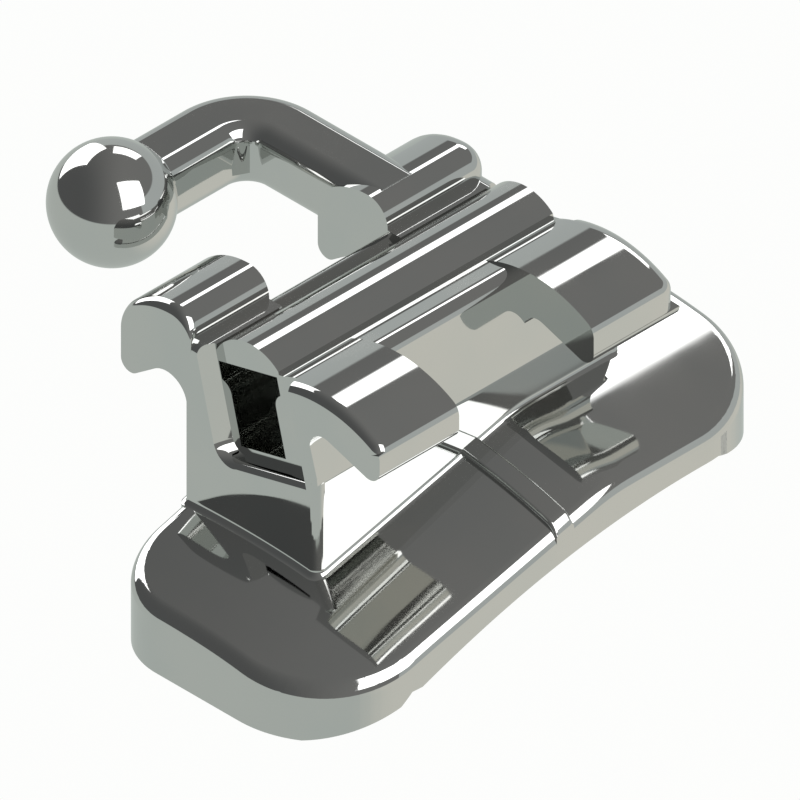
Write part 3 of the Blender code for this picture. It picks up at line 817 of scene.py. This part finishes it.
def cutting_solids():
    """The solids that are cut from the casting, by name."""
    cut = {
        "slot": along_x(slot_outline(), -PAST, BODY_LENGTH + PAST),
        "mesial_pocket": pocket(0, 1),
        "distal_pocket": pocket(BODY_LENGTH, -1),
        "underside": underside(),
    }
    pitch = (PAD_OCCLUSAL + PAD_GINGIVAL) / GROOVE_COUNT
    for index in range(GROOVE_COUNT):
        cut[f"groove_{index + 1}"] = groove(PAD_GINGIVAL - pitch * (index + 0.5))
    return cut


def level_frame():
    """Where the slot's frame sits: the lips stand level on Z 0, and the origin is under the pad's middle."""
    mesial_x = -MESIAL_LIP_AT - MESIAL_LIP_LEVEL
    mesial_z = mesial_lip(mesial_x)
    slope = (distal_lip(PAD_DISTAL) - mesial_z) / (PAD_DISTAL - mesial_x)
    middle_x = (PAD_DISTAL - PAD_MESIAL) / 2
    middle_z = mesial_z + slope * (middle_x - mesial_x)
    middle = Vector((middle_x, (PAD_GINGIVAL - PAD_OCCLUSAL) / 2, middle_z))
    turn = Matrix.Rotation(math.atan(slope), 4, "Y")
    return turn @ Matrix.Scale(MM, 4) @ Matrix.Translation(-middle)


def shape(casting, tools, operation):
    """Joins or cuts the casting with solids, one Boolean each."""
    for tool in tools:
        tool.hide_render = True
        tool.display_type = "WIRE"
        modifier = casting.modifiers.new(tool.name, "BOOLEAN")
        modifier.operation = operation
        modifier.solver = "MANIFOLD"
        modifier.object = tool


def level_turn():
    """The turn that brings the slot's frame level."""
    return level_frame().to_3x3().normalized()


def casting_mesh():
    """The casting with every join and cut made, in millimetres in the slot's frame."""
    tools = bpy.data.collections.new("shaping_solids")
    bpy.context.scene.collection.children.link(tools)
    casting = finish(pad_blank(), "casting_blank", tools)
    shape(casting, [finish(bm, name, tools) for name, bm in joined_solids().items()], "UNION")
    shape(casting, [finish(bm, name, tools) for name, bm in cutting_solids().items()], "DIFFERENCE")
    bpy.context.view_layer.update()
    seen = casting.evaluated_get(bpy.context.evaluated_depsgraph_get())
    mesh = bpy.data.meshes.new_from_object(seen)
    for helper in list(tools.objects):
        bpy.data.objects.remove(helper, do_unlink=True)
    bpy.data.collections.remove(tools)
    return mesh


def in_bonding_base(centre):
    """Whether a face lies in the bonding field or its grooves, between the two lips."""
    between = -MESIAL_LIP_AT + UNDERCUT_REACH < centre.x < DISTAL_LIP_AT
    inside = -PAD_OCCLUSAL + EDGE_LAND < centre.y < PAD_GINGIVAL - EDGE_LAND
    return between and inside and centre.z < field(centre.x) + GROOVE_DEPTH + EDGE_LAND


def kept_normals(mesh):
    """The normals that the solids were drawn with, turned level. A cutter's point the other way."""
    drawn = mesh.attributes["drawn_normal"].data
    least = math.cos(SHARP_FROM)
    turn = level_turn()
    normals = []
    for face in mesh.polygons:
        for corner in face.loop_indices:
            normal = drawn[corner].vector.normalized()
            normal *= math.copysign(1.0, normal.dot(face.normal))
            normals.append(turn @ (normal if normal.dot(face.normal) > least else face.normal))
    return normals


def build_casting(polished, blasted):
    mesh = casting_mesh()
    mesh.name = "casting"
    mesh.materials.clear()
    mesh.materials.append(polished)
    mesh.materials.append(blasted)
    for face in mesh.polygons:
        face.material_index = 1 if in_bonding_base(face.center) else 0
    normals = kept_normals(mesh)
    mesh.attributes.remove(mesh.attributes["drawn_normal"])
    mesh.transform(level_frame())
    mesh.shade_smooth()
    mesh.normals_split_custom_set(normals)
    casting = bpy.data.objects.new("casting", mesh)
    bpy.context.scene.collection.objects.link(casting)
    return casting


class Nodes:
    """Short calls for a node tree: add a node with its inputs set or linked."""

    def __init__(self, tree):
        self.tree = tree

    def add(self, kind, inputs=(), **settings):
        node = self.tree.nodes.new(kind)
        for name, value in settings.items():
            setattr(node, name, value)
        for socket, value in dict(inputs).items():
            if isinstance(value, bpy.types.NodeSocket):
                self.tree.links.new(value, node.inputs[socket])
            else:
                node.inputs[socket].default_value = value
        return node

    def maths(self, operation, first, second=0.0, third=0.0):
        inputs = {0: first, 1: second, 2: third}
        return self.add("ShaderNodeMath", inputs, operation=operation).outputs[0]

    def dot(self, first, second):
        node = self.add("ShaderNodeVectorMath", {0: first, 1: second}, operation="DOT_PRODUCT")
        return node.outputs["Value"]

    def ramp(self, value, low, high, out_low=0.0, out_high=1.0):
        inputs = {"Value": value, "From Min": low, "From Max": high, "To Min": out_low, "To Max": out_high}
        return self.add("ShaderNodeMapRange", inputs, interpolation_type="SMOOTHSTEP").outputs[0]

    def mix(self, share, first, second):
        inputs = {"Factor": share, 6: first, 7: second}
        return self.add("ShaderNodeMix", inputs, data_type="RGBA").outputs[2]


def node_group(name, takes, gives):
    """A shader node group with its sockets, each named with its kind and, for a number, its value."""
    group = bpy.data.node_groups.new(name, "ShaderNodeTree")
    for socket, kind, value in takes:
        made = group.interface.new_socket(socket, in_out="INPUT", socket_type=kind)
        if value is not None:
            made.default_value = value
    for socket, kind in gives:
        group.interface.new_socket(socket, in_out="OUTPUT", socket_type=kind)
    nodes = Nodes(group)
    return group, nodes, nodes.add("NodeGroupInput").outputs, nodes.add("NodeGroupOutput").inputs


def softbox_group():
    """Masks the directions inside four planes through the casting, which are a softbox's four edges."""
    takes = [("Direction", "NodeSocketVector", None)]
    takes += [(f"Edge {number}", "NodeSocketVector", None) for number in range(1, 5)]
    takes.append(("Softness", "NodeSocketFloat", SOFTBOX_EDGE))
    group, nodes, given, out = node_group("softbox", takes, [("Mask", "NodeSocketFloat")])
    mask = 1.0
    low = nodes.maths("MULTIPLY", given["Softness"], -1.0)
    for number in range(1, 5):
        across = nodes.dot(given["Direction"], given[f"Edge {number}"])
        side = nodes.ramp(across, low, given["Softness"])
        mask = nodes.maths("MULTIPLY", side, mask)
    group.links.new(mask, out["Mask"])
    return group


def softbox_mask(nodes, group, direction, corners):
    """How far a direction lies inside a softbox, which is given by its corners."""
    corners = [Vector(corner).normalized() for corner in corners]
    middle = sum(corners, Vector()).normalized()
    inputs = {"Direction": direction}
    for number, (corner, following) in enumerate(zip(corners, corners[1:] + corners[:1]), 1):
        edge = corner.cross(following).normalized()
        inputs[f"Edge {number}"] = edge if edge.dot(middle) > 0 else -edge
    return nodes.add("ShaderNodeGroup", inputs, node_tree=group).outputs["Mask"]


def light_studio():
    """Dark ceiling, lighter far walls and ground, and the three softboxes, in the slot's frame."""
    world = bpy.data.worlds.new("studio")
    world.use_nodes = True
    bpy.context.scene.world = world
    nodes = Nodes(world.node_tree)
    world.node_tree.nodes.clear()
    sight = nodes.add("ShaderNodeTexCoord").outputs["Generated"]
    turn = level_turn().inverted().to_euler()
    direction = nodes.add(
        "ShaderNodeVectorRotate", {"Vector": sight, "Rotation": turn}, rotation_type="EULER_XYZ"
    ).outputs["Vector"]
    parts = nodes.add("ShaderNodeSeparateXYZ", {0: direction}).outputs
    side = nodes.dot(direction, Vector((1, -1, 0)).normalized())
    ceiling = nodes.mix(nodes.ramp(side, *CEILING_TURN), CEILING_DARK, CEILING_LIGHT)
    ground = nodes.mix(nodes.ramp(side, *GROUND_TURN), GROUND_COOL, GROUND_WARM)
    above = nodes.ramp(parts["Z"], CEILING_FROM - ROOM_EDGE, CEILING_FROM + ROOM_EDGE)
    near = nodes.ramp(parts["X"], WALL_FROM + ROOM_EDGE, WALL_FROM - ROOM_EDGE)
    dark = nodes.maths("MAXIMUM", above, near)
    room = nodes.mix(dark, WALL_TONE, ceiling)
    under = nodes.ramp(parts["Z"], HORIZON, HORIZON - 2 * ROOM_EDGE)
    room = nodes.mix(under, room, ground)
    group = softbox_group()
    lit = 0.0
    for corners in (SIDE_SOFTBOX, END_SOFTBOX, REAR_SOFTBOX):
        lit = nodes.maths("MAXIMUM", softbox_mask(nodes, group, direction, corners), lit)
    white = (SOFTBOX_LIGHT, SOFTBOX_LIGHT, SOFTBOX_LIGHT, 1)
    studio = nodes.mix(lit, room, white)
    seen = nodes.add("ShaderNodeLightPath").outputs["Is Camera Ray"]
    shown = nodes.mix(seen, studio, PAGE_WHITE)
    background = nodes.add("ShaderNodeBackground", {"Color": shown, "Strength": 1.0})
    nodes.add("ShaderNodeOutputWorld", {"Surface": background.outputs[0]})


def lay_floor():
    """A plain pale floor: white to the eye, and left out of reflections, where the studio's ground shows."""
    material = bpy.data.materials.new("pale_floor")
    material.use_nodes = True
    nodes = Nodes(material.node_tree)
    material.node_tree.nodes.clear()
    glow = nodes.add("ShaderNodeEmission", {"Color": PAGE_WHITE, "Strength": 1.0})
    nodes.add("ShaderNodeOutputMaterial", {"Surface": glow.outputs[0]})
    bpy.ops.mesh.primitive_plane_add(size=FLOOR_SIDE, location=(0, 0, -FLOOR_GAP))
    floor = bpy.context.object
    floor.name = "floor"
    floor.data.materials.append(material)
    floor.visible_glossy = False


def set_camera():
    """The photograph's camera: straight down the diagonal of the slot's frame, with no perspective."""
    right = Vector((1, -1, 0)).normalized()
    back = Vector((-1, -1, 1)).normalized()
    up = back.cross(right)
    across = (IMAGE_SIDE / 2 - ORIGIN_PIXEL[0]) / PIXELS_PER_MM
    rise = (ORIGIN_PIXEL[1] - IMAGE_SIDE / 2) / PIXELS_PER_MM
    place = right * across + up * rise + back * CAMERA_DISTANCE
    data = bpy.data.cameras.new("camera")
    data.type = "ORTHO"
    data.ortho_scale = IMAGE_SIDE / PIXELS_PER_MM * MM
    data.clip_start = MM
    data.clip_end = 10 * CAMERA_DISTANCE * MM
    camera = bpy.data.objects.new("camera", data)
    turned = level_turn() @ Matrix((right, up, back)).transposed()
    camera.matrix_world = Matrix.Translation(level_frame() @ place) @ turned.to_4x4()
    bpy.context.scene.collection.objects.link(camera)
    bpy.context.scene.camera = camera


def lapping_marks_group():
    """Faint polishing marks: a haze in the shine, and the fine lines that the buff leaves."""
    takes = [
        ("Haze Size", "NodeSocketFloat", HAZE_SIZE),
        ("Line Size", "NodeSocketFloat", LINE_SIZE),
        ("Least Roughness", "NodeSocketFloat", POLISHED_ROUGHNESS[0]),
        ("Most Roughness", "NodeSocketFloat", POLISHED_ROUGHNESS[1]),
    ]
    gives = [("Roughness", "NodeSocketFloat"), ("Height", "NodeSocketFloat"), ("Haze", "NodeSocketFloat")]
    group, nodes, given, out = node_group("lapping_marks", takes, gives)
    place = nodes.add("ShaderNodeTexCoord").outputs["Object"]
    clouds = {"Vector": place, "Scale": given["Haze Size"], "Detail": HAZE_DETAIL}
    haze = nodes.add("ShaderNodeTexNoise", clouds).outputs[0]
    drawn = nodes.add("ShaderNodeMapping", {"Vector": place, "Scale": LINE_STRETCH}).outputs[0]
    strokes = {"Vector": drawn, "Scale": given["Line Size"], "Detail": LINE_DETAIL}
    lines = nodes.add("ShaderNodeTexNoise", strokes).outputs[0]
    soft = nodes.ramp(haze, *HAZE_BAND)
    roughness = nodes.ramp(soft, 0.0, 1.0, given["Least Roughness"], given["Most Roughness"])
    group.links.new(roughness, out["Roughness"])
    group.links.new(lines, out["Height"])
    group.links.new(soft, out["Haze"])
    return group


def grit_group():
    """The pitted, frosted surface that blasting leaves: its height, and a mask of its pits for the painted
    shade in them.
    """
    takes = [("Grit Size", "NodeSocketFloat", GRIT_SIZE)]
    gives = [("Height", "NodeSocketFloat"), ("Pit Shade", "NodeSocketFloat")]
    group, nodes, given, out = node_group("grit", takes, gives)
    place = nodes.add("ShaderNodeTexCoord").outputs["Object"]
    cells = {"Vector": place, "Scale": given["Grit Size"]}
    coarse = nodes.add("ShaderNodeTexVoronoi", cells).outputs["Distance"]
    fine = nodes.add("ShaderNodeTexNoise", {**cells, "Detail": GRIT_DETAIL}).outputs[0]
    group.links.new(nodes.maths("MULTIPLY_ADD", coarse, PIT_SHARE, fine), out["Height"])
    group.links.new(nodes.ramp(coarse, *PIT_BAND), out["Pit Shade"])
    return group


def new_steel(name):
    """A material for bare metal, with its nodes and its shader's inputs."""
    material = bpy.data.materials.new(name)
    material.use_nodes = True
    inputs = material.node_tree.nodes["Principled BSDF"].inputs
    inputs["Metallic"].default_value = 1.0
    return material, Nodes(material.node_tree), inputs


def lay_finish(nodes, inputs, tone, roughness, height, depth):
    """Links a finish to a shader's inputs: its tone, its roughness, and its height as a bump of a depth."""
    bump = nodes.add("ShaderNodeBump", {"Height": height, "Strength": 1.0, "Distance": depth})
    nodes.tree.links.new(tone, inputs["Base Color"])
    nodes.tree.links.new(roughness, inputs["Roughness"])
    nodes.tree.links.new(bump.outputs[0], inputs["Normal"])


def polished_steel(marks):
    material, nodes, inputs = new_steel("polished_steel")
    lapped = nodes.add("ShaderNodeGroup", node_tree=marks).outputs
    tone = nodes.mix(lapped["Haze"], *POLISHED_TONES)
    lay_finish(nodes, inputs, tone, lapped["Roughness"], lapped["Height"], LINE_DEPTH)
    return material


def blasted_steel(marks, grit):
    material, nodes, inputs = new_steel("blasted_steel")
    least, most = BLASTED_ROUGHNESS
    lapped = nodes.add(
        "ShaderNodeGroup", {"Least Roughness": least, "Most Roughness": most}, node_tree=marks
    ).outputs
    pitted = nodes.add("ShaderNodeGroup", node_tree=grit).outputs
    # Painted shade: the blasted tone darkens towards the bottom of each pit of the grit, and it also varies
    # from cell to cell.
    tone = nodes.mix(pitted["Pit Shade"], *BLASTED_TONES)
    lay_finish(nodes, inputs, tone, lapped["Roughness"], pitted["Height"], GRIT_DEPTH)
    return material


def dress():
    set_camera()
    light_studio()
    lay_floor()
    marks = lapping_marks_group()
    casting = build_casting(polished_steel(marks), blasted_steel(marks, grit_group()))
    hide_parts("buccal_tube")
    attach(casting, "root")
    scene = bpy.context.scene
    scene.view_settings.view_transform = "Standard"
    scene.cycles.max_bounces = REFLECTIONS
    scene.cycles.glossy_bounces = REFLECTIONS


dress()
bpy.context.view_layer.update()
